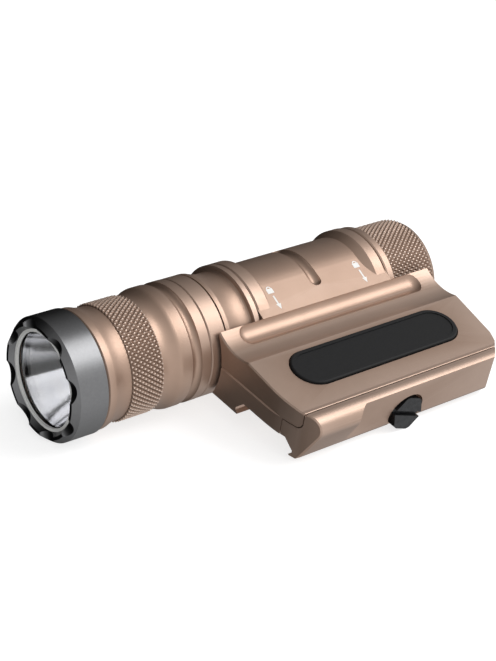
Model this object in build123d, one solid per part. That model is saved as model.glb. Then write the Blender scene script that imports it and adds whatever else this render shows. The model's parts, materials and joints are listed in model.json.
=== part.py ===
"""Rail-mounted tactical flashlight: one STEP file per physical piece.

Millimetres, +Z up.  The origin is the middle of the rail seat, where the cross-bolt passes.
+X is the way the beam points, +Y is the side of the clamp screw.  The lamp tube lies beside the
mount, parallel to X, on the -Y side.
"""

from build123d import *

import math
import os

# ---------------------------------------------------------------- lamp tube axis
TUBE_Y = -35.6
TUBE_Z = 3.9

# ---------------------------------------------------------------- stations along the tube
BEZEL_FRONT = 80.8
BEZEL_REAR = 70.4
LIP_FRONT = 79.4
SEAL_FRONT = 78.7
LENS_FRONT = 78.3
LENS_REAR = 76.4
HEAD_KNURL_FRONT = 62.9
HEAD_KNURL_REAR = 53.4
NOSE_BAND_REAR = 68.3
WAIST_REAR = 48.4
HEAD_GROOVE_FRONT = 44.8
HEAD_GROOVE_REAR = 42.0
COLLAR_FRONT = 38.9
COLLAR_REAR = 33.3
COVE_REAR = 24.2
HEAD_JOINT = 22.1
TAIL_JOINT = -22.8
TAIL_KNURL_FRONT = -25.5
TAIL_KNURL_REAR = -40.4
TAIL_END = -42.1
JOINT_GAP = 0.3

# ---------------------------------------------------------------- outside radii
BEZEL_R = 16.5
HEAD_R = 16.35
HEAD_KNURL_R = 15.75
NOSE_BAND_R = 16.1
NECK_R = 15.15
COLLAR_R = 16.3
COVE_R = 15.05
FLANGE_R = 16.65
REAR_FLANGE_R = 16.6
LOW_BODY_R = 15.1
FACET_ANGLE = 67.2
TAIL_R = 16.35
TAIL_KNURL_R = 15.35

# ---------------------------------------------------------------- inside radii
SLEEVE_BORE_R = 11.1
JOINT_BORE_R = 13.1
SPIGOT_R = 12.6
THREAD_R = 13.0
SPIGOT_BORE_R = 11.4
HEAD_BORE_R = 13.9
LENS_R = 15.0
BEZEL_BORE_R = 13.6
BEZEL_LIP_R = 12.65
CELL_R = 9.3
THREAD_PITCH = 1.0
SCALLOPS = 8

# ---------------------------------------------------------------- mount and rail
MOUNT_FRONT = 36.4
MOUNT_REAR = -36.4
WING_UNDER_Z = 4.9
WING_SIDE_Y = 12.4
PLATE_GAP = 0.3
SLOT_HALF = 10.75
HOOK_TIP = 9.8
HOOK_Z = -4.4
UNDERCUT_Z = -3.45
BEVEL_Z = -2.65
SEAT_LEFT = -8.1
SEAT_RIGHT = 6.2
BOLT_Z = -0.2
BOLT_R = 2.3
BOLT_HEAD_Y0 = 12.4
BOLT_HEAD_Y1 = 15.1
BOLT_HEAD_R = 5.0
BOLT_FLATS = 9.2
SPOT_R = 5.7
RELIEF_FOOT = (13.5, -2.65)
RELIEF_BROW = (15.6, 9.05)
RELIEF_END_X = 19.7
RELIEF_CORNER = 3.0
SLOT_TURN = -20.0
FRONT_BEVEL = 0.35
CREST = (-21.0, 14.15)
HOLLOW = (-14.0, 11.64)
BROW = (-8.7, 12.24)
GROOVE_Y = -17.46
GROOVE_Z = 14.78
GROOVE_R = 3.6
GROOVE_END = 28.5
PIN_X = 26.0
PIN_Z = 2.1
PIN_R = 1.25
BASE_SCREW_X = 20.0
BASE_SCREW_Y = -2.0

# ---------------------------------------------------------------- switch pad
PAD_SLOPE = 7.4
PAD_Y = -0.7
PAD_Z = 11.2
PAD_LENGTH = 54.8
PAD_WIDTH = 12.6
POCKET_GAP = 0.3
POCKET_DEPTH = 3.9

os.makedirs("parts", exist_ok=True)


# ---------------------------------------------------------------- helpers
def on_tube(shape):
    """Move a shape made round the X axis onto the tube axis."""
    return Pos(0, TUBE_Y, TUBE_Z) * shape


def turned(points):
    """Solid of revolution about the tube axis from (x, radius) points."""
    outline = Polyline(*[(x, r) for x, r in points], close=True)
    return on_tube(revolve(make_face(outline), Axis.X, 360))


def ring(x0, x1, outer, inner=0.0):
    """Plain disc or ring about the tube axis."""
    return turned([(x0, inner), (x1, inner), (x1, outer), (x0, outer)])


def prism_x(points, x0, x1):
    """Outline of (y, z) points drawn out along X."""
    face = make_face(Polyline(*points, close=True))
    return extrude(Plane.YZ.offset(x0) * face, x1 - x0)


def section_x(curves, x0, x1):
    """Closed run of (y, z) curves drawn out along X."""
    face = make_face([edge for curve in curves for edge in curve.edges()])
    return extrude(Plane.YZ.offset(x0) * face, x1 - x0)


def block(x0, x1, y0, y1, z0, z1):
    """Box between two corners."""
    centre = Pos((x0 + x1) / 2, (y0 + y1) / 2, (z0 + z1) / 2)
    return centre * Box(x1 - x0, y1 - y0, z1 - z0)


def rod_y(x, z, radius, y0, y1):
    """Round rod along Y."""
    return Pos(x, (y0 + y1) / 2, z) * Rot(90, 0, 0) * Cylinder(radius, y1 - y0)


def rod_z(x, y, radius, z0, z1):
    """Round rod along Z."""
    return Pos(x, y, (z0 + z1) / 2) * Cylinder(radius, z1 - z0)


def thread_rings(x0, x1, core, crest):
    """Ridges standing on a threaded spigot, one per pitch."""
    count = int((x1 - x0) / THREAD_PITCH)
    land = THREAD_PITCH / 8
    flank = THREAD_PITCH / 4
    ridges = []
    for index in range(count):
        x = x0 + index * THREAD_PITCH
        ridge = [
            (x, core - land),
            (x, core),
            (x + flank, crest),
            (x + flank + land, crest),
            (x + 2 * flank + land, core),
            (x + 2 * flank + land, core - land),
        ]
        ridges.append(turned(ridge))
    return ridges


def o_ring(x, centre_radius, section):
    """Rubber ring about the tube axis."""
    circle = Pos(x, centre_radius) * Circle(section)
    return on_tube(revolve(circle, Axis.X, 360))


def coil_x(x0, x1, radius, wire, turns):
    """Helical compression spring along the tube axis."""
    path = Helix(pitch=(x1 - x0) / turns, height=x1 - x0, radius=radius)
    start = path @ 0
    section = Plane(origin=start, z_dir=path % 0) * Circle(wire)
    spring = sweep(section, path=path)
    return on_tube(Pos(x0, 0, 0) * Rot(0, 90, 0) * spring)


def pad_frame():
    """Work plane lying on the sloping switch face."""
    slope = math.radians(PAD_SLOPE)
    return Plane(
        origin=(0, PAD_Y, PAD_Z),
        x_dir=(1, 0, 0),
        z_dir=(0, math.sin(slope), math.cos(slope)),
    )


def stadium(length, width, low, high):
    """Round-ended slab on the switch face, between two heights along its normal."""
    outline = SlotOverall(length, width)
    return extrude(pad_frame().offset(low) * outline, high - low)


# ---------------------------------------------------------------- head pieces
def bezel_ring():
    """Steel front ring with eight scallops round its rim."""
    body = turned(
        [
            (BEZEL_REAR, LENS_R + 0.2),
            (BEZEL_REAR, BEZEL_R - 0.4),
            (BEZEL_REAR + 0.4, BEZEL_R),
            (BEZEL_FRONT - 1.9, BEZEL_R),
            (BEZEL_FRONT, BEZEL_R - 1.3),
            (BEZEL_FRONT, BEZEL_BORE_R + 0.7),
            (LIP_FRONT + 0.3, BEZEL_BORE_R),
            (LIP_FRONT, BEZEL_BORE_R - 0.2),
            (LIP_FRONT, BEZEL_LIP_R + 0.2),
            (LIP_FRONT - 0.2, BEZEL_LIP_R),
            (SEAL_FRONT, BEZEL_LIP_R),
            (SEAL_FRONT, LENS_R + 0.2),
        ]
    )
    scallop_r, scallop_depth = 4.6, 1.3
    for index in range(SCALLOPS):
        angle = (index + 0.5) * 360 / SCALLOPS
        cutter = Pos(BEZEL_FRONT + scallop_r - scallop_depth, 0, BEZEL_R) * Cylinder(scallop_r, 9)
        body -= on_tube(Rot(angle, 0, 0) * cutter)
    return body


def front_lens():
    return ring(LENS_REAR, LENS_FRONT, LENS_R)


def lens_seal():
    return ring(LENS_FRONT + 0.05, SEAL_FRONT, LENS_R, BEZEL_LIP_R + 0.1)


def reflector():
    """Open paraboloid cup with a front flange and a collar round the emitter."""
    vertex, quarter = 49.42, 1.559
    rear, front, wall = 51.5, LENS_REAR - 0.2, 0.9
    count = 14
    inner = []
    for index in range(count + 1):
        x = rear + (front - rear) * index / count
        inner.append((x, math.sqrt(4 * quarter * (x - vertex))))
    outer = [(x, r + wall) for x, r in reversed(inner[1:-1])]
    flange = [(front, 13.75), (front - 1.0, 13.75), (front - 1.0, outer[0][1])]
    collar = [(rear + 1.2, 5.0), (rear, 5.0)]
    return turned(inner + flange + outer + collar)


def led_centering_ring():
    return ring(50.45, 51.4, 5.0, 2.9)


def led_emitter():
    """Square chip base with a clear dome."""
    base = on_tube(Pos(50.7, 0, 0) * Box(0.5, 3.4, 3.4))
    dome = on_tube(Pos(50.95, 0, 0) * Sphere(1.5))
    dome -= on_tube(Pos(48.95, 0, 0) * Box(4, 4, 4))
    return base + dome


def led_board():
    return ring(49.05, 50.4, 9.0) - on_tube(Pos(49.7, 0, 7.5) * Rot(0, 90, 0) * Cylinder(1.2, 3))


def heatsink_pill():
    """Brass plug that carries the emitter board, hollow at the driver side."""
    return turned([(42.0, 12.3), (42.0, 13.85), (49.0, 13.85), (49.0, 0), (45.0, 0), (45.0, 12.3)])


def driver_board():
    """Round circuit board with a few components on its front."""
    board = ring(36.1, 37.6, 12.1)
    for y, z, width in ((4.5, 3.0, 4.0), (-4.8, 2.2, 3.2), (0.5, -5.5, 5.0)):
        chip = Pos(38.4, TUBE_Y + y, TUBE_Z + z) * Box(1.7, width, 3.0)
        board += chip
    return board


def driver_retaining_ring():
    body = ring(34.8, 36.0, 12.15, 9.8)
    for side in (-1, 1):
        body -= on_tube(Pos(35.4, side * 10.0, 0) * Box(3, 1.2, 2.0))
    return body


def head_contact_spring():
    return coil_x(33.2, 35.6, 3.2, 0.35, 3)


def head_housing():
    """Knurled head tube: front nose, two bands, knurl waist and a round-bottomed groove."""
    nose = LENS_REAR - 0.1
    steps = 6
    waist = []
    for index in range(1, steps + 1):
        share = index / steps
        x = WAIST_REAR + (HEAD_KNURL_REAR - 1.0 - WAIST_REAR) * share
        waist.append((x, HEAD_R - (HEAD_R - NECK_R) * math.sin(share * math.pi / 2)))
    waist.append((HEAD_KNURL_REAR, NECK_R))
    body = turned(
        [
            (COLLAR_FRONT, HEAD_BORE_R),
            (COLLAR_FRONT, HEAD_R),
            (HEAD_GROOVE_REAR - 0.3, HEAD_R),
            (HEAD_GROOVE_FRONT + 0.3, HEAD_R),
            (WAIST_REAR, HEAD_R),
            *waist,
            (HEAD_KNURL_REAR, HEAD_KNURL_R - 0.35),
            (HEAD_KNURL_REAR + 0.35, HEAD_KNURL_R),
            (HEAD_KNURL_FRONT - 0.35, HEAD_KNURL_R),
            (HEAD_KNURL_FRONT, HEAD_KNURL_R - 0.35),
            (HEAD_KNURL_FRONT, NECK_R),
            (HEAD_KNURL_FRONT + 1.6, NECK_R),
            (NOSE_BAND_REAR - 0.8, NOSE_BAND_R - 0.2),
            (NOSE_BAND_REAR, NOSE_BAND_R),
            (BEZEL_REAR - 0.5, NOSE_BAND_R),
            (BEZEL_REAR, NOSE_BAND_R - 0.5),
            (BEZEL_REAR, LENS_R + 0.1),
            (nose, LENS_R + 0.1),
            (nose, HEAD_BORE_R),
        ]
    )
    groove_centre = (HEAD_GROOVE_FRONT + HEAD_GROOVE_REAR) / 2
    return body - o_ring(groove_centre, HEAD_R + 0.5, 1.6)


def head_collar():
    """Separate smooth ring trapped between head tube and adapter."""
    return turned(
        [
            (COLLAR_REAR + 0.2, 14.0),
            (COLLAR_REAR + 0.2, COLLAR_R - 0.3),
            (COLLAR_REAR + 0.5, COLLAR_R),
            (COLLAR_FRONT - 0.5, COLLAR_R),
            (COLLAR_FRONT - 0.2, COLLAR_R - 0.3),
            (COLLAR_FRONT - 0.2, 14.0),
        ]
    )


def head_adapter():
    """Coved coupling with the threaded spigot that screws into the lamp body."""
    cove_front, cove_floor, fillet = COLLAR_REAR - 1.2, 26.5, 0.9
    steps = 8
    cove = []
    for index in range(steps + 1):
        share = index / steps
        x = cove_front + (cove_floor - cove_front) * share
        cove.append((x, COLLAR_R - (COLLAR_R - COVE_R) * math.sin(share * math.pi / 2)))
    for index in range(4):
        turn = math.radians(index * 30)
        x = COVE_REAR + fillet * (1 - math.sin(turn))
        cove.append((x, COVE_R + fillet * (1 - math.cos(turn))))
    outline = [
        (41.6, 12.2),
        (41.6, 13.8),
        (COLLAR_FRONT, 13.8),
        (COLLAR_FRONT - 0.2, 13.95),
        (COLLAR_REAR, 13.95),
        (COLLAR_REAR, COLLAR_R),
        *cove,
        (COVE_REAR, COVE_R + 0.95),
        (COVE_REAR - 0.2, FLANGE_R),
        (HEAD_JOINT + 0.4, FLANGE_R),
        (HEAD_JOINT + JOINT_GAP, FLANGE_R - 0.3),
        (HEAD_JOINT + JOINT_GAP, SPIGOT_R),
        (20.9, SPIGOT_R),
        (20.9, 11.9),
        (19.2, 11.9),
        (19.2, SPIGOT_R),
        (12.2, SPIGOT_R),
        (11.8, SPIGOT_R - 0.4),
        (11.8, SPIGOT_BORE_R),
        (33.0, SPIGOT_BORE_R),
        (33.0, 12.2),
    ]
    body = turned(outline)
    for ridge in thread_rings(12.6, 18.4, SPIGOT_R, THREAD_R):
        body += ridge
    return body


def head_o_ring():
    return o_ring(20.05, 12.5, 0.58)


# ---------------------------------------------------------------- tail pieces
def tail_cap():
    """Closed knurled cap with a threaded spigot."""
    outline = [
        (TAIL_END, 0),
        (TAIL_END, TAIL_KNURL_R - 1.6),
        (TAIL_END + 0.5, TAIL_KNURL_R - 0.9),
        (TAIL_KNURL_REAR, TAIL_KNURL_R),
        (TAIL_KNURL_FRONT, TAIL_KNURL_R),
        (TAIL_KNURL_FRONT, TAIL_R - 0.15),
        (TAIL_KNURL_FRONT + 0.15, TAIL_R),
        (TAIL_JOINT - 0.8, TAIL_R),
        (TAIL_JOINT - JOINT_GAP, TAIL_R - 0.4),
        (TAIL_JOINT - JOINT_GAP, SPIGOT_R),
        (-22.3, SPIGOT_R),
        (-22.3, 11.9),
        (-20.6, 11.9),
        (-20.6, SPIGOT_R),
        (-13.8, SPIGOT_R),
        (-13.4, SPIGOT_R - 0.4),
        (-13.4, SPIGOT_BORE_R),
        (-38.0, SPIGOT_BORE_R),
        (-38.0, 0),
    ]
    body = turned(outline)
    for ridge in thread_rings(-19.8, -14.2, SPIGOT_R, THREAD_R):
        body += ridge
    return body


def tail_contact_board():
    return ring(-37.95, -36.7, 11.2)


def tail_retaining_ring():
    body = ring(-36.65, -35.4, 11.3, 8.6)
    for side in (-1, 1):
        body -= on_tube(Pos(-36.0, side * 9.2, 0) * Box(3, 1.4, 2.2))
    return body


def tail_spring():
    return coil_x(-36.1, -33.3, 5.2, 0.45, 3)


def tail_o_ring():
    return o_ring(-21.45, 12.5, 0.58)


# ---------------------------------------------------------------- lamp body
def mount_plan():
    """Outline of the mount seen from above: eased front corner, slanting rear corner."""
    front = ThreePointArc((MOUNT_FRONT, 1.0), (35.2, 10.35), (32.0, 19.0))
    rest = Polyline(
        (32.0, 19.0),
        (32.0, 25.0),
        (-24.5, 25.0),
        (-24.5, 20.0),
        (-28.7, 15.6),
        (-33.4, 10.6),
        (-34.7, 7.3),
        (MOUNT_REAR, -8.0),
        (MOUNT_REAR, -60.0),
        (MOUNT_FRONT, -60.0),
        (MOUNT_FRONT, 1.0),
    )
    face = make_face([*front.edges(), *rest.edges()])
    return Pos(0, 0, -10) * extrude(face, 30)


def ease_front(body, least_y, least_z):
    """Fine bevel on the front end's edges that lie above and outside the given limits."""
    chosen = []
    for edge in body.edges():
        start, end = edge @ 0, edge @ 1
        at_front = min(start.X, end.X) > 31 and abs(start.Y - end.Y) > 0.05
        if at_front and min(start.Y, end.Y) > least_y and edge.center().Z > least_z:
            chosen.append(edge)
    return chamfer(chosen, FRONT_BEVEL)


def seam_bevel():
    """Fine V along the front of the joint between wing and rail base."""
    length = 60
    return Pos(MOUNT_FRONT + 0.1, -length / 2 + 12, WING_UNDER_Z) * Rot(0, 45, 0) * Box(0.6, length, 0.6)


def wing():
    """Mount wing: hollow run-in under the crest, sloping switch face, outer side."""
    top = ThreePointArc(CREST, HOLLOW, BROW)
    rest = Polyline(
        BROW,
        (11.4, 9.63),
        (WING_SIDE_Y - 0.15, 9.6),
        (WING_SIDE_Y, 9.45),
        (WING_SIDE_Y - 0.1, 6.4),
        (12.0, 5.6),
        (11.3, 5.0),
        (10.8, WING_UNDER_Z),
        (-26.0, WING_UNDER_Z),
        (-26.0, 9.0),
        CREST,
    )
    body = section_x([top, rest], MOUNT_REAR, MOUNT_FRONT) & mount_plan()
    return ease_front(body, CREST[0] - 0.1, 8.5)


def side_groove():
    """Long ball-nosed groove in the hollow beside the crest."""
    groove = Pos(0, GROOVE_Y, GROOVE_Z) * Rot(0, 90, 0) * Cylinder(GROOVE_R, 2 * GROOVE_END)
    for x in (-GROOVE_END, GROOVE_END):
        groove += Pos(x, GROOVE_Y, GROOVE_Z) * Sphere(GROOVE_R)
    return groove


def crown_groove():
    """Ball-nosed groove running over the crown of the lamp body."""
    radius, section = LOW_BODY_R + 0.75, 1.9
    first, last = 57, 123
    circle = Pos(0, radius) * Circle(section)
    arc = revolve(circle, Axis.X, last - first)
    groove = on_tube(Rot(first, 0, 0) * arc)
    for angle in (first, last):
        y = TUBE_Y + radius * math.cos(math.radians(angle))
        z = TUBE_Z + radius * math.sin(math.radians(angle))
        groove += Pos(0, y, z) * Sphere(section)
    return groove


def facet():
    """Flat running from the lamp body down to the crest of the mount."""
    lean = math.radians(FACET_ANGLE)
    points = [
        (TUBE_Y, TUBE_Z),
        (TUBE_Y + LOW_BODY_R * math.cos(lean), TUBE_Z + LOW_BODY_R * math.sin(lean)),
        CREST,
        (-26.0, 8.0),
    ]
    return prism_x(points, TAIL_JOINT, HEAD_JOINT)


def body_housing():
    """Lamp body tube and mount wing in one machining."""
    tube = turned(
        [
            (TAIL_JOINT, 0),
            (TAIL_JOINT, REAR_FLANGE_R - 0.4),
            (TAIL_JOINT + 0.4, REAR_FLANGE_R),
            (-19.4, REAR_FLANGE_R),
            (-17.0, LOW_BODY_R),
            (16.9, LOW_BODY_R),
            (18.3, FLANGE_R),
            (HEAD_JOINT - 0.4, FLANGE_R),
            (HEAD_JOINT, FLANGE_R - 0.4),
            (HEAD_JOINT, 0),
        ]
    )
    body = wing() + tube + facet()
    body -= ring(HEAD_JOINT, MOUNT_FRONT + 1, FLANGE_R + 0.45)
    body -= ring(MOUNT_REAR - 1, TAIL_JOINT, REAR_FLANGE_R + 0.5)
    body -= ring(TAIL_JOINT - 1, HEAD_JOINT + 1, SLEEVE_BORE_R)
    body -= ring(11.5, HEAD_JOINT + 1, JOINT_BORE_R)
    body -= ring(TAIL_JOINT - 1, -13.1, JOINT_BORE_R)
    body -= side_groove()
    body -= crown_groove()
    body -= seam_bevel()
    pocket_length = PAD_LENGTH + 2 * POCKET_GAP
    pocket_width = PAD_WIDTH + 2 * POCKET_GAP
    body -= stadium(pocket_length, pocket_width, -POCKET_DEPTH, 2.0)
    body -= block(-2.3, 2.3, -30, -4, 7.6, 8.4)
    for side in (-1, 1):
        body -= rod_z(side * BASE_SCREW_X, BASE_SCREW_Y, 1.25, WING_UNDER_Z - 1, 6.6)
    return body


def battery_sleeve():
    return ring(-20.5, 20.5, 10.9, 9.75)


def cell_can():
    return ring(-32.4, 31.5, 9.1)


def cell_wrap():
    return ring(-32.2, 31.3, CELL_R, 9.15)


def cell_cap():
    return ring(31.5, 32.6, 3.4)


# ---------------------------------------------------------------- switch
def switch_board():
    """Circuit strip on the floor of the switch pocket."""
    return stadium(PAD_LENGTH - 1.0, PAD_WIDTH - 1.0, -POCKET_DEPTH + 0.02, -POCKET_DEPTH + 0.82)


def switch_domes():
    """Two snap domes under the pad."""
    domes = []
    frame = pad_frame()
    for x in (-13.5, 13.5):
        low = extrude(frame.offset(-POCKET_DEPTH + 0.84) * Pos(x, 0) * Circle(3.2), 0.22)
        high = extrude(frame.offset(-POCKET_DEPTH + 1.06) * Pos(x, 0) * Circle(2.2), 0.2)
        domes.append(low + high)
    return Compound(domes)


def switch_pad():
    """Rubber press pad with a raised rounded edge and two pips underneath."""
    pad = stadium(PAD_LENGTH, PAD_WIDTH, -1.5, 0.7)
    pad = fillet(pad.faces().sort_by(Axis.Z)[-1].edges(), 0.5)
    rim = 2 * 1.3
    pad -= stadium(PAD_LENGTH - rim, PAD_WIDTH - rim, 0.45, 2.0)
    for x in (-13.5, 13.5):
        pip = extrude(pad_frame().offset(-1.7) * Pos(x, 0) * Circle(1.8), 0.4)
        pad += pip
    return pad


def switch_flex():
    """Flat flexible lead from the switch board to the lamp bore."""
    return block(-2.0, 2.0, -23.6, -6.4, 7.75, 8.05)


# ---------------------------------------------------------------- rail clamp
def bolt_channel():
    """Clearance for the cross-bolt across seat and plate."""
    return rod_y(0, BOLT_Z, BOLT_R + 0.1, -30, 30)


def rail_base():
    """Block under the wing: rail seat, fixed jaw and bolt channel."""
    outline = [
        (-23.0, WING_UNDER_Z),
        (-23.0, HOOK_Z),
        (-HOOK_TIP - 0.25, HOOK_Z),
        (-HOOK_TIP, HOOK_Z + 0.25),
        (-SLOT_HALF, UNDERCUT_Z),
        (-SLOT_HALF, BEVEL_Z),
        (SEAT_LEFT, 0),
        (SEAT_RIGHT, 0),
        (SEAT_RIGHT, WING_UNDER_Z),
    ]
    body = prism_x(outline, MOUNT_REAR, MOUNT_FRONT) & mount_plan()
    body -= seam_bevel()
    body -= ring(MOUNT_REAR - 1, MOUNT_FRONT + 1, FLANGE_R + 0.45)
    body -= bolt_channel()
    body -= block(-BOLT_R - 0.1, BOLT_R + 0.1, SEAT_LEFT - 4, 10, -4, BOLT_Z)
    body -= rod_y(0, BOLT_Z, 4.2, -30, -14.6)
    for side in (-1, 1):
        x = side * BASE_SCREW_X
        body -= rod_z(x, BASE_SCREW_Y, 1.6, -1, 5)
        body -= rod_z(x, BASE_SCREW_Y, 2.9, -1, 1.9)
        body -= rod_y(side * PIN_X, PIN_Z, PIN_R, -6.0, 10)
    return body


def base_screws():
    """Two socket screws holding the rail base to the wing."""
    screws = []
    for side in (-1, 1):
        x = side * BASE_SCREW_X
        head = rod_z(x, BASE_SCREW_Y, 2.75, 0.3, 1.9)
        shank = rod_z(x, BASE_SCREW_Y, 1.25, 1.9, 6.5)
        socket = Pos(x, BASE_SCREW_Y, 0.3) * extrude(RegularPolygon(1.2, 6), 0.9)
        screws.append(head + shank - socket)
    return Compound(screws)


def clamp_nut():
    """Round nut let into the fixed jaw."""
    body = rod_y(0, BOLT_Z, 4.1, -17.6, -14.65)
    return body - rod_y(0, BOLT_Z, BOLT_R + 0.05, -20, -10)


def guide_pins():
    """Pins pressed in the rail base; the plate slides on them."""
    pins = []
    for side in (-1, 1):
        pins.append(rod_y(side * PIN_X, PIN_Z, PIN_R, -6.0, 11.3))
    return Compound(pins)


def plate_blank():
    """Section of the moving jaw: inner arm, hook, slanting outside and round shoulder."""
    shoulder = ThreePointArc((17.11, 4.47), (16.7, 8.35), (13.9, 9.7))
    rest = Polyline(
        (13.9, 9.7),
        (WING_SIDE_Y + PLATE_GAP + 0.25, 9.7),
        (WING_SIDE_Y + PLATE_GAP, 9.45),
        (WING_SIDE_Y + PLATE_GAP - 0.1, 6.25),
        (12.25, 5.4),
        (11.4, 4.7),
        (10.8, WING_UNDER_Z - PLATE_GAP),
        (SEAT_RIGHT + PLATE_GAP, WING_UNDER_Z - PLATE_GAP),
        (SEAT_RIGHT + PLATE_GAP, 0.15),
        (8.1, 0.15),
        (SLOT_HALF, BEVEL_Z),
        (SLOT_HALF, UNDERCUT_Z),
        (HOOK_TIP, HOOK_Z + 0.25),
        (HOOK_TIP + 0.25, HOOK_Z),
        (12.0, HOOK_Z),
        (12.9, -3.65),
        RELIEF_FOOT,
        (17.11, 4.47),
    )
    body = section_x([shoulder, rest], MOUNT_REAR, MOUNT_FRONT) & mount_plan()
    return ease_front(body, WING_SIDE_Y + PLATE_GAP - 0.05, RELIEF_FOOT[1])


def relief_tool():
    """Cutter for the flat let into the plate's outside, with one rounded corner."""
    rise = RELIEF_BROW[1] - RELIEF_FOOT[1]
    slant = math.atan2(RELIEF_BROW[0] - RELIEF_FOOT[0], rise)
    flat = Plane(
        origin=(0, *RELIEF_FOOT),
        x_dir=(1, 0, 0),
        z_dir=(0, math.cos(slant), -math.sin(slant)),
    )
    top = (rise + 0.15) / math.cos(slant)
    far, below = 60.0, 10.0
    inner = RELIEF_END_X - RELIEF_CORNER
    low = Pos((inner - far) / 2, (below - top) / 2) * Rectangle(inner + far, below + top)
    side_top = top - RELIEF_CORNER
    centre = Pos((RELIEF_END_X - far) / 2, (below - side_top) / 2)
    side = centre * Rectangle(RELIEF_END_X + far, below + side_top)
    corner = Pos(inner, -side_top) * Circle(RELIEF_CORNER)
    return extrude(flat * (low + side + corner), 12)


def clamp_plate():
    """Moving jaw with its outside relief, spot face, bolt hole and pin holes."""
    body = plate_blank()
    body -= relief_tool()
    body -= rod_y(0, BOLT_Z, SPOT_R, BOLT_HEAD_Y0, 30)
    body -= bolt_channel()
    for side in (-1, 1):
        body -= rod_y(side * PIN_X, PIN_Z, PIN_R + 0.05, 0, 11.6)
    return body


def clamp_screw():
    """Cross-bolt with a slotted head of rounded hexagon shape."""
    hexagon = Pos(0, BOLT_HEAD_Y0, BOLT_Z) * Rot(-90, 0, 0)
    length = BOLT_HEAD_Y1 - BOLT_HEAD_Y0
    head = hexagon * extrude(RegularPolygon(BOLT_FLATS / 2, 6, major_radius=False), length)
    head &= rod_y(0, BOLT_Z, BOLT_HEAD_R, BOLT_HEAD_Y0, BOLT_HEAD_Y1)
    head -= block(-6, 6, BOLT_HEAD_Y1 - 1.4, BOLT_HEAD_Y1 + 1, BOLT_Z - 0.65, BOLT_Z + 0.65)
    head = Pos(0, 0, BOLT_Z) * Rot(0, SLOT_TURN, 0) * Pos(0, 0, -BOLT_Z) * head
    shank = rod_y(0, BOLT_Z, BOLT_R, -18.8, BOLT_HEAD_Y0)
    return head + shank


NODES = {
    "bezel_ring": bezel_ring,
    "front_lens": front_lens,
    "lens_seal": lens_seal,
    "reflector": reflector,
    "led_centering_ring": led_centering_ring,
    "led_emitter": led_emitter,
    "led_board": led_board,
    "heatsink_pill": heatsink_pill,
    "driver_board": driver_board,
    "driver_retaining_ring": driver_retaining_ring,
    "head_contact_spring": head_contact_spring,
    "head_housing": head_housing,
    "head_collar": head_collar,
    "head_adapter": head_adapter,
    "head_o_ring": head_o_ring,
    "body_housing": body_housing,
    "battery_sleeve": battery_sleeve,
    "cell_can": cell_can,
    "cell_wrap": cell_wrap,
    "cell_cap": cell_cap,
    "tail_cap": tail_cap,
    "tail_contact_board": tail_contact_board,
    "tail_retaining_ring": tail_retaining_ring,
    "tail_spring": tail_spring,
    "tail_o_ring": tail_o_ring,
    "switch_board": switch_board,
    "switch_domes": switch_domes,
    "switch_pad": switch_pad,
    "switch_flex": switch_flex,
    "rail_base": rail_base,
    "base_screws": base_screws,
    "clamp_nut": clamp_nut,
    "guide_pins": guide_pins,
    "clamp_plate": clamp_plate,
    "clamp_screw": clamp_screw,
}

for node, make in NODES.items():
    shape = make()
    export_step(shape, f"parts/{node}.step")
    box = shape.bounding_box()
    print(node, len(shape.solids()), round(shape.volume, 1), box.min, box.max)
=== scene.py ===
import json
import math

import bmesh
import bpy
from mathutils import Matrix, Vector


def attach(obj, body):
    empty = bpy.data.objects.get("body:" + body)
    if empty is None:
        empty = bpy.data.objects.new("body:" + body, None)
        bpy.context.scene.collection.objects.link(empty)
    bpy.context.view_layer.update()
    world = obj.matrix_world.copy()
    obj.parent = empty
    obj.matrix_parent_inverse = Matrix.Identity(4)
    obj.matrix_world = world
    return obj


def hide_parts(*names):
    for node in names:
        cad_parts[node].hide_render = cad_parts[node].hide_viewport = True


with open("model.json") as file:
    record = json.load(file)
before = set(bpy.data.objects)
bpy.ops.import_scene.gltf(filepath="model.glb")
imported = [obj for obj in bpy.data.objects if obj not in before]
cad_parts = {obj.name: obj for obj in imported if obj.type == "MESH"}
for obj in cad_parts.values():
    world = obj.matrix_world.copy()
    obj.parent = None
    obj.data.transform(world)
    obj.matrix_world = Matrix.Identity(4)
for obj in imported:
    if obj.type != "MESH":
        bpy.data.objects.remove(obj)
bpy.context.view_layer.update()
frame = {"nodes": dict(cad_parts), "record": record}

MM = 0.001
TUBE = Vector((0, -35.6, 3.9)) * MM

# ---------------------------------------------------------------- camera, at the seen angle
CAMERA_PLACE = Vector((280.8, 256.3, 253.2)) * MM
AZIMUTH, ELEVATION, ROLL = (math.radians(d) for d in (137.52, 32.68, 8.83))
LENS_MM = 93.97
SENSOR_MM = 36.0

# ---------------------------------------------------------------- turned pieces, mm
KNURL_SHARP = 24
KNURL_AROUND = 72
KNURL_PITCH = 1.8
STEPS_PER_DIAMOND = 11
TRIM_SEGMENTS = 240
HEAD_REAR = 38.9
HEAD_FRONT = 76.3
HEAD_BORE_R = 13.9
HEAD_R = 16.35
NECK_R = 15.15
WAIST_REAR = 48.4
WAIST_LENGTH = 4.0
HEAD_GROOVE_X = 43.4
HEAD_GROOVE_R = 1.6
HEAD_GROOVE_SINK = 0.5
CURVE_STEPS = 12
SPIGOT_R = 12.6
THREAD_R = 13.0

# ---------------------------------------------------------------- lock marks, mm
FLAT_LEAN = math.radians(67.2)
FLAT_R = 15.1
MARK_DOWN = 2.2
MARK_LIFT = 0.03
MARK_X = {"mark_front": 15.1, "mark_rear": -15.1}

# ---------------------------------------------------------------- where the soft room light comes from
BRIGHT_SIDE = (-0.3, 1.0, 0.2)

# ---------------------------------------------------------------- floor under flange and plate
FLOOR_TILT = math.radians(8.7)
FLOOR_DROP = 16.68 * MM
FLOOR_SIZE = 4.0


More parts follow.
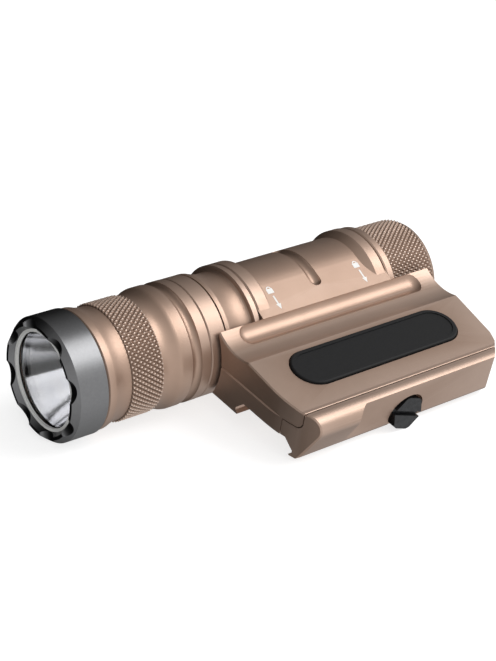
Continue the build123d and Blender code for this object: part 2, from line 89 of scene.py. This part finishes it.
def make_camera():
    """Camera at the solved place, with its roll."""
    back = Vector((
        math.sin(AZIMUTH) * math.cos(ELEVATION),
        -math.cos(AZIMUTH) * math.cos(ELEVATION),
        math.sin(ELEVATION),
    ))
    right = Vector((math.cos(AZIMUTH), math.sin(AZIMUTH), 0))
    up = back.cross(right)
    across = right * math.cos(ROLL) + up * math.sin(ROLL)
    above = up * math.cos(ROLL) - right * math.sin(ROLL)
    data = bpy.data.cameras.new("camera")
    data.lens = LENS_MM
    data.sensor_width = SENSOR_MM
    data.clip_start, data.clip_end = 0.01, 10
    camera = bpy.data.objects.new("camera", data)
    bpy.context.scene.collection.objects.link(camera)
    turn = Matrix((across, above, back)).transposed().to_4x4()
    camera.matrix_world = Matrix.Translation(CAMERA_PLACE) @ turn
    bpy.context.scene.camera = camera


def floor_normal():
    """Up from the floor on which flange and screw head rest."""
    return Vector((0, -math.sin(FLOOR_TILT), math.cos(FLOOR_TILT)))


# ---------------------------------------------------------------- materials
def nodes_of(material):
    """Node tree and main shader of a material."""
    material.use_nodes = True
    tree = material.node_tree
    shader = tree.nodes["Principled BSDF"]
    return tree, shader


def add(tree, kind, **values):
    """New node with attributes or inputs set by name."""
    node = tree.nodes.new(kind)
    for key, value in values.items():
        if hasattr(node, key):
            setattr(node, key, value)
        else:
            node.inputs[key.replace("_", " ")].default_value = value
    return node


def anodised(name, base, dark, bump=0.06, rough=0.4):
    """Bead-blasted anodised aluminium: fine pits, mottling, lighter edges, painted shade in the knurl
    grooves, painted highlight on the knurl tops.
    """
    material = bpy.data.materials.new(name)
    tree, shader = nodes_of(material)
    link = tree.links.new
    place = add(tree, "ShaderNodeTexCoord")
    blotch = add(tree, "ShaderNodeTexNoise", Scale=55.0, Detail=4.0, Roughness=0.6)
    grain = add(tree, "ShaderNodeTexNoise", Scale=2600.0, Detail=3.0, Roughness=0.6)
    for texture in (blotch, grain):
        link(place.outputs["Object"], texture.inputs["Vector"])
    colour = add(tree, "ShaderNodeValToRGB")
    colour.color_ramp.elements[0].position = 0.3
    colour.color_ramp.elements[0].color = (*dark, 1)
    colour.color_ramp.elements[1].position = 0.7
    colour.color_ramp.elements[1].color = (*base, 1)
    link(blotch.outputs["Fac"], colour.inputs["Fac"])
    wear_and_glint = add(tree, "ShaderNodeNewGeometry")
    edge = add(tree, "ShaderNodeMapRange", clamp=True)
    edge.inputs["From Min"].default_value = 0.53
    edge.inputs["From Max"].default_value = 0.62
    edge.inputs["To Max"].default_value = 0.35
    link(wear_and_glint.outputs["Pointiness"], edge.inputs["Value"])
    mix = add(tree, "ShaderNodeMixRGB", blend_type="MIX")
    mix.inputs["Color2"].default_value = (0.66, 0.52, 0.44, 1)
    link(edge.outputs["Result"], mix.inputs["Fac"])
    link(colour.outputs["Color"], mix.inputs["Color1"])
    # Painted shade: the knurl grooves are mixed towards a dark brown through the "groove" layer.
    depth = add(tree, "ShaderNodeAttribute", attribute_name="groove")
    shade = add(tree, "ShaderNodeMixRGB", blend_type="MIX")
    shade.inputs["Color2"].default_value = (0.11, 0.072, 0.053, 1)
    link(depth.outputs["Fac"], shade.inputs["Fac"])
    link(mix.outputs["Color"], shade.inputs["Color1"])
    # Painted highlight: the knurl tops are mixed towards a pale tan through the "crest" layer.
    top = add(tree, "ShaderNodeAttribute", attribute_name="crest")
    shine = add(tree, "ShaderNodeMixRGB", blend_type="MIX")
    shine.inputs["Color2"].default_value = (0.8, 0.66, 0.57, 1)
    link(top.outputs["Fac"], shine.inputs["Fac"])
    link(shade.outputs["Color"], shine.inputs["Color1"])
    link(shine.outputs["Color"], shader.inputs["Base Color"])
    level = add(tree, "ShaderNodeMapRange")
    level.inputs["To Min"].default_value = rough - 0.05
    level.inputs["To Max"].default_value = rough + 0.08
    link(grain.outputs["Fac"], level.inputs["Value"])
    link(level.outputs["Result"], shader.inputs["Roughness"])
    relief = add(tree, "ShaderNodeBump", Strength=bump, Distance=0.0001)
    link(grain.outputs["Fac"], relief.inputs["Height"])
    link(relief.outputs["Normal"], shader.inputs["Normal"])
    shader.inputs["Metallic"].default_value = 0.8
    shader.inputs["Coat Weight"].default_value = 0.08
    shader.inputs["Coat Roughness"].default_value = 0.4
    return material


def speckled(name, base, dark, scale=1500.0, metallic=0.0, rough=(0.5, 0.65), bump=0.1, **sockets):
    """General fine-textured finish used for steel, rubber, plastic and board."""
    material = bpy.data.materials.new(name)
    tree, shader = nodes_of(material)
    link = tree.links.new
    place = add(tree, "ShaderNodeTexCoord")
    grain = add(tree, "ShaderNodeTexNoise", Scale=scale, Detail=4.0, Roughness=0.65)
    link(place.outputs["Object"], grain.inputs["Vector"])
    colour = add(tree, "ShaderNodeValToRGB")
    colour.color_ramp.elements[0].position = 0.35
    colour.color_ramp.elements[0].color = (*dark, 1)
    colour.color_ramp.elements[1].position = 0.65
    colour.color_ramp.elements[1].color = (*base, 1)
    link(grain.outputs["Fac"], colour.inputs["Fac"])
    link(colour.outputs["Color"], shader.inputs["Base Color"])
    level = add(tree, "ShaderNodeMapRange")
    level.inputs["To Min"].default_value = rough[0]
    level.inputs["To Max"].default_value = rough[1]
    link(grain.outputs["Fac"], level.inputs["Value"])
    link(level.outputs["Result"], shader.inputs["Roughness"])
    relief = add(tree, "ShaderNodeBump", Strength=bump, Distance=0.0001)
    link(grain.outputs["Fac"], relief.inputs["Height"])
    link(relief.outputs["Normal"], shader.inputs["Normal"])
    shader.inputs["Metallic"].default_value = metallic
    for key, value in sockets.items():
        shader.inputs[key.replace("_", " ")].default_value = value
    return material


def make_materials():
    """All finishes by slot name."""
    made = [
        anodised("tan_anodised", (0.40, 0.277, 0.212), (0.35, 0.238, 0.18)),
        speckled("bezel_steel", (0.185, 0.186, 0.19), (0.17, 0.171, 0.175), 1400, 1.0, (0.3, 0.33), 0.015),
        speckled(
            "lens_glass", (1, 1, 1), (0.97, 0.98, 1), 200, 0.0, (0.02, 0.03), 0.0,
            Transmission_Weight=1.0, IOR=1.45,
        ),
        speckled("seal_rubber", (0.03, 0.03, 0.03), (0.015, 0.015, 0.015)),
        speckled("reflector_chrome", (0.95, 0.95, 0.96), (0.9, 0.9, 0.92), 400, 1.0, (0.07, 0.12), 0.01),
        speckled("white_plastic", (0.8, 0.8, 0.78), (0.74, 0.74, 0.72)),
        speckled("emitter_yellow", (0.85, 0.72, 0.2), (0.78, 0.62, 0.15), 3000, 0.0, (0.1, 0.2)),
        speckled("board_white", (0.82, 0.82, 0.8), (0.75, 0.75, 0.73)),
        speckled("board_green", (0.05, 0.2, 0.1), (0.03, 0.14, 0.07), 700, 0.0, (0.3, 0.4)),
        speckled("brass", (0.75, 0.55, 0.25), (0.62, 0.44, 0.2), 900, 1.0, (0.25, 0.4)),
        speckled("spring_steel", (0.62, 0.62, 0.63), (0.5, 0.5, 0.51), 1200, 1.0, (0.25, 0.35)),
        speckled("cell_steel", (0.66, 0.66, 0.67), (0.55, 0.55, 0.56), 1200, 1.0, (0.2, 0.3)),
        speckled("cell_wrap", (0.1, 0.2, 0.42), (0.08, 0.16, 0.34), 300, 0.0, (0.25, 0.35)),
        speckled(
            "pad_rubber", (0.009, 0.009, 0.0095), (0.005, 0.005, 0.0055), 1800, 0.0, (0.55, 0.7), 0.2,
            Specular_IOR_Level=0.25,
        ),
        speckled("flex_film", (0.5, 0.28, 0.07), (0.4, 0.22, 0.05), 400, 0.0, (0.25, 0.4)),
        speckled("black_steel", (0.05, 0.051, 0.053), (0.03, 0.03, 0.032), 1100, 0.9, (0.35, 0.5), 0.08),
    ]
    return {material.name.partition(".")[0]: material for material in made}


MATERIALS = make_materials()
SLOT_OF = {part["node"]: part["material_slot"] for part in frame["record"]["subparts"]}


def dress_nodes():
    """Give every CAD node the finish of its slot."""
    for name, node in frame["nodes"].items():
        material = MATERIALS[SLOT_OF[name]]
        if not node.material_slots:
            node.data.materials.append(material)
        for slot in node.material_slots:
            slot.material = material


# ---------------------------------------------------------------- turned pieces with knurling
def knurl_height(x, turn, first, last, around, pitch):
    """0 in the grooves and 1 on the flats of a diamond knurl; it runs out at both ends."""
    if x <= first or x >= last:
        return 0.0
    along = (x - first) / pitch
    across = turn * around
    lean_one = abs(((across + along) % 1.0) - 0.5) * 2
    lean_two = abs(((across - along) % 1.0) - 0.5) * 2
    return min(1.0, 1.35 * (1 - max(lean_one, lean_two)))


def lathe(name, outline, segments, knurl=None):
    """Closed turned mesh about the tube axis from (x, radius) points in mm, closed round.

    Points lying on the knurl's root radius are lifted into diamonds; how far each vertex stays below the
    tops is kept in the "groove" layer, which the material uses for painted shade in the grooves, and the
    tops in "crest", which it uses for a painted highlight.
    """
    mesh = bpy.data.meshes.new(name)
    maker = bmesh.new()
    groove = maker.verts.layers.float.new("groove")
    crest = maker.verts.layers.float.new("crest")
    rings = []
    for x, radius in outline:
        if radius < 1e-6:
            rings.append([maker.verts.new(TUBE + Vector((x, 0, 0)) * MM)])
            continue
        ring = []
        for index in range(segments):
            turn = index / segments
            angle = turn * 2 * math.pi
            r, groove_shade, wear_and_glint = radius, 0.0, 0.0
            if knurl and abs(radius - knurl["root"]) < 1e-6:
                height = knurl_height(x, turn, *knurl["band"], knurl["around"], knurl["pitch"])
                r += knurl["depth"] * height
                # Painted shade: how dark the knurl grooves are drawn.
                groove_shade = max(0.0, 1.0 - 2.2 * height)
                # Painted highlight: how light the knurl tops are drawn.
                wear_and_glint = max(0.0, 4.0 * height - 3.0)
            point = Vector((x, r * math.cos(angle), r * math.sin(angle)))
            vertex = maker.verts.new(TUBE + point * MM)
            vertex[groove] = groove_shade
            vertex[crest] = wear_and_glint
            ring.append(vertex)
        rings.append(ring)
    count = len(rings)
    for index in range(count):
        one, two = rings[index], rings[(index + 1) % count]
        if len(one) == 1 and len(two) == 1:
            continue
        for step in range(segments):
            after = (step + 1) % segments
            if len(one) == 1:
                maker.faces.new((one[0], two[after], two[step]))
            elif len(two) == 1:
                maker.faces.new((one[step], one[after], two[0]))
            else:
                maker.faces.new((one[step], one[after], two[after], two[step]))
    bmesh.ops.recalc_face_normals(maker, faces=maker.faces)
    for face in maker.faces:
        face.smooth = True
    limit = math.radians(KNURL_SHARP)
    for edge in maker.edges:
        if len(edge.link_faces) == 2 and edge.calc_face_angle() > limit:
            edge.smooth = False
    maker.to_mesh(mesh)
    maker.free()
    piece = bpy.data.objects.new(name, mesh)
    bpy.context.scene.collection.objects.link(piece)
    return piece


def knurl_rows(first, last, root, pitch):
    """Outline points close enough together to carry the knurl."""
    count = int(round((last - first) / pitch * 10))
    return [(first + (last - first) * i / count, root) for i in range(count + 1)]


def make_head_housing():
    """Head tube with its diamond knurl, from the collar joint to the lens seat."""
    neck, top, bore = NECK_R, HEAD_R, HEAD_BORE_R
    root, depth = 15.23, 0.52
    rear, front = 53.4, 62.9
    waist = []
    for index in range(1, CURVE_STEPS + 1):
        share = index / CURVE_STEPS
        x = WAIST_REAR + WAIST_LENGTH * share
        waist.append((x, top - (top - neck) * math.sin(share * math.pi / 2)))
    groove = []
    half = math.acos(HEAD_GROOVE_SINK / HEAD_GROOVE_R)
    for index in range(CURVE_STEPS + 1):
        turn = -half + 2 * half * index / CURVE_STEPS
        x = HEAD_GROOVE_X + HEAD_GROOVE_R * math.sin(turn)
        groove.append((x, top + HEAD_GROOVE_SINK - HEAD_GROOVE_R * math.cos(turn)))
    outline = [
        (HEAD_REAR, bore), (HEAD_REAR, top - 0.15), (HEAD_REAR + 0.15, top),
        *groove,
        (WAIST_REAR - 0.5, top), (WAIST_REAR - 0.25, top - 0.03), *waist,
        (rear, neck), (rear, root),
        *knurl_rows(rear, front, root, KNURL_PITCH)[1:-1],
        (front, root), (front, neck), (64.5, neck), (65.6, neck + 0.17), (66.7, 15.58),
        (67.5, 15.88), (68.1, 16.06), (68.3, 16.1), (69.9, 16.1), (70.4, 15.6), (70.4, 15.1),
        (HEAD_FRONT, 15.1), (HEAD_FRONT, bore),
    ]
    band = (rear + 0.15, front - 0.15)
    knurl = {"root": root, "depth": depth, "band": band, "around": KNURL_AROUND, "pitch": KNURL_PITCH}
    piece = lathe("head_housing_knurled", outline, KNURL_AROUND * STEPS_PER_DIAMOND, knurl)
    piece.data.materials.append(MATERIALS["tan_anodised"])
    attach(piece, "head")
    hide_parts("head_housing")


def make_lens_trim():
    """Pale trim lining the lip in front of the lens."""
    outline = [
        (78.75, 12.55), (79.4, 12.55), (79.46, 12.62), (79.46, 12.8), (79.43, 12.86), (79.43, 13.38),
        (79.4, 13.38), (79.4, 12.86), (79.2, 12.64), (78.75, 12.64),
    ]
    piece = lathe("lens_trim", outline, TRIM_SEGMENTS)
    piece.data.materials.append(MATERIALS["white_plastic"])
    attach(piece, "head")


def make_tail_cap():
    """Closed tail cap with its diamond knurl, ring and threaded spigot."""
    root, depth = 14.87, 0.48
    front, rear = -25.5, -40.4
    outline = [
        (-42.1, 0), (-42.1, 13.75), (-42.0, 14.05), (-41.6, 14.45), (-40.9, 14.78), (rear, root),
        *knurl_rows(rear, front, root, KNURL_PITCH)[1:-1],
        (front, root), (front, 16.2), (front + 0.15, 16.35),
        (-23.6, 16.35), (-23.2, 16.15), (-23.1, 15.95), (-23.1, SPIGOT_R), (-22.3, SPIGOT_R),
        (-22.3, 11.9), (-20.6, 11.9), (-20.6, SPIGOT_R), *thread_outline(-19.8, 6),
        (-13.8, SPIGOT_R), (-13.4, 12.2),
        (-13.4, 11.4), (-38.0, 11.4), (-38.0, 0),
    ]
    band = (rear + 0.1, front - 0.1)
    knurl = {"root": root, "depth": depth, "band": band, "around": KNURL_AROUND, "pitch": KNURL_PITCH}
    piece = lathe("tail_cap_knurled", outline, KNURL_AROUND * STEPS_PER_DIAMOND, knurl)
    piece.data.materials.append(MATERIALS["tan_anodised"])
    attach(piece, "tail")
    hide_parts("tail_cap")


def thread_outline(start, count):
    """Ridge points of a threaded spigot."""
    points = []
    for index in range(count):
        x = start + index
        points += [(x, SPIGOT_R), (x + 0.25, THREAD_R), (x + 0.375, THREAD_R), (x + 0.625, SPIGOT_R)]
    return points


# ---------------------------------------------------------------- plain lock marks
def flat_mark(name, shapes, origin, across, along, lift):
    """Thin printed mark: outlines in mm laid on a flat spot of the lamp body."""
    normal = across.cross(along).normalized()
    mesh = bpy.data.meshes.new(name)
    maker = bmesh.new()
    for shape in shapes:
        low = [origin + across * (u * MM) + along * (v * MM) - normal * (lift * MM) for u, v in shape]
        high = [point + normal * (2 * lift * MM) for point in low]
        bottom = [maker.verts.new(p) for p in low]
        top = [maker.verts.new(p) for p in high]
        maker.faces.new(top)
        maker.faces.new(list(reversed(bottom)))
        for index in range(len(shape)):
            after = (index + 1) % len(shape)
            maker.faces.new((bottom[index], bottom[after], top[after], top[index]))
    bmesh.ops.recalc_face_normals(maker, faces=maker.faces)
    maker.to_mesh(mesh)
    maker.free()
    piece = bpy.data.objects.new(name, mesh)
    bpy.context.scene.collection.objects.link(piece)
    piece.data.materials.append(MATERIALS["white_plastic"])
    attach(piece, "housing")


def arch(radius, width, base, steps=8):
    """Shackle of a padlock as a row of small quads round a half circle."""
    quads = []
    for index in range(steps):
        a0 = math.pi * index / steps
        a1 = math.pi * (index + 1) / steps
        quads.append([
            (radius * math.cos(a0), base + radius * math.sin(a0)),
            ((radius + width) * math.cos(a0), base + (radius + width) * math.sin(a0)),
            ((radius + width) * math.cos(a1), base + (radius + width) * math.sin(a1)),
            (radius * math.cos(a1), base + radius * math.sin(a1)),
        ])
    return quads


def make_marks():
    """Plain padlock and arrow beside each end joint, on the flat."""
    outward = Vector((0, math.cos(FLAT_LEAN), math.sin(FLAT_LEAN)))
    down = Vector((0, math.sin(FLAT_LEAN), -math.cos(FLAT_LEAN)))
    for name, x in MARK_X.items():
        lock = [[(-1.0, -0.75), (1.0, -0.75), (1.0, 0.75), (-1.0, 0.75)]]
        lock += arch(0.45, 0.3, 0.75)
        arrow = [
            [(-0.25, -4.3), (0.25, -4.3), (0.25, -1.6), (-0.25, -1.6)],
            [(-0.75, -4.3), (0.0, -6.0), (0.75, -4.3)],
        ]
        along = -down
        across = along.cross(outward)
        origin = TUBE + outward * (FLAT_R * MM) + Vector((x, 0, 0)) * MM + along * (-MARK_DOWN * MM)
        flat_mark(name, lock + arrow, origin, across, along, MARK_LIFT)


def pale_sheet(name, maker, base, glow):
    """Stage piece that only the camera sees, so the studio light alone falls on the lamp."""
    mesh = bpy.data.meshes.new(name)
    maker.to_mesh(mesh)
    maker.free()
    sheet = bpy.data.objects.new(name, mesh)
    bpy.context.scene.collection.objects.link(sheet)
    material = bpy.data.materials.new(name + "_pale")
    tree, shader = nodes_of(material)
    shader.inputs["Base Color"].default_value = (base, base, base, 1)
    shader.inputs["Emission Color"].default_value = (1, 1, 1, 1)
    shader.inputs["Emission Strength"].default_value = glow
    shader.inputs["Roughness"].default_value = 0.9
    mesh.materials.append(material)
    sheet.visible_diffuse = False
    sheet.visible_glossy = False
    return sheet


def make_stage():
    """Pale floor lying under the flange and the screw head, in a pale room."""
    normal = floor_normal()
    maker = bmesh.new()
    bmesh.ops.create_grid(maker, x_segments=2, y_segments=2, size=FLOOR_SIZE)
    floor = pale_sheet("floor", maker, 0.5, 0.72)
    turn = normal.to_track_quat("Z", "Y").to_matrix().to_4x4()
    floor.matrix_world = Matrix.Translation(TUBE - normal * FLOOR_DROP) @ turn
    maker = bmesh.new()
    bmesh.ops.create_uvsphere(maker, u_segments=48, v_segments=24, radius=FLOOR_SIZE)
    room = pale_sheet("backdrop", maker, 0.0, 1.0)
    room.visible_shadow = False
    room.visible_transmission = False


def area_light(name, place, target, size, power):
    """Rectangular light in metres and watts, turned towards the target."""
    data = bpy.data.lights.new(name, "AREA")
    data.shape = "RECTANGLE"
    data.size, data.size_y = size
    data.energy = power
    light = bpy.data.objects.new(name, data)
    bpy.context.scene.collection.objects.link(light)
    light.location = place
    light.rotation_mode = "QUATERNION"
    light.rotation_quaternion = (Vector(target) - Vector(place)).to_track_quat("-Z", "Y")


def make_lights():
    """Room light that fades away from the bright side, one high panel, two for the reflector."""
    scene = bpy.context.scene
    scene.view_settings.view_transform = "Standard"
    world = bpy.data.worlds.new("studio")
    scene.world = world
    world.use_nodes = True
    tree = world.node_tree
    place = add(tree, "ShaderNodeTexCoord")
    toward = add(tree, "ShaderNodeVectorMath", operation="DOT_PRODUCT")
    toward.inputs[1].default_value = Vector(BRIGHT_SIDE).normalized()
    ramp = add(tree, "ShaderNodeMapRange", clamp=True)
    ramp.inputs["From Min"].default_value = -0.7
    ramp.inputs["From Max"].default_value = 0.85
    ramp.inputs["To Min"].default_value = 0.0
    ramp.inputs["To Max"].default_value = 1.15
    tree.links.new(place.outputs["Generated"], toward.inputs[0])
    tree.links.new(toward.outputs["Value"], ramp.inputs["Value"])
    tree.links.new(ramp.outputs["Result"], tree.nodes["Background"].inputs["Strength"])
    tree.nodes["Background"].inputs["Color"].default_value = (1, 1, 1, 1)
    area_light("high_side", (-0.47, 0.24, 0.66), (0, -0.03, 0), (0.6, 0.62), 4.4)
    area_light("beam_high", (0.62, -0.3, 0.32), (0.07, -0.035, 0), (0.14, 0.26), 0.25)
    area_light("beam_low", (0.62, 0.12, -0.02), (0.07, -0.035, 0), (0.08, 0.2), 0.1)


make_camera()
dress_nodes()
make_head_housing()
make_lens_trim()
make_tail_cap()
make_marks()
make_stage()
make_lights()
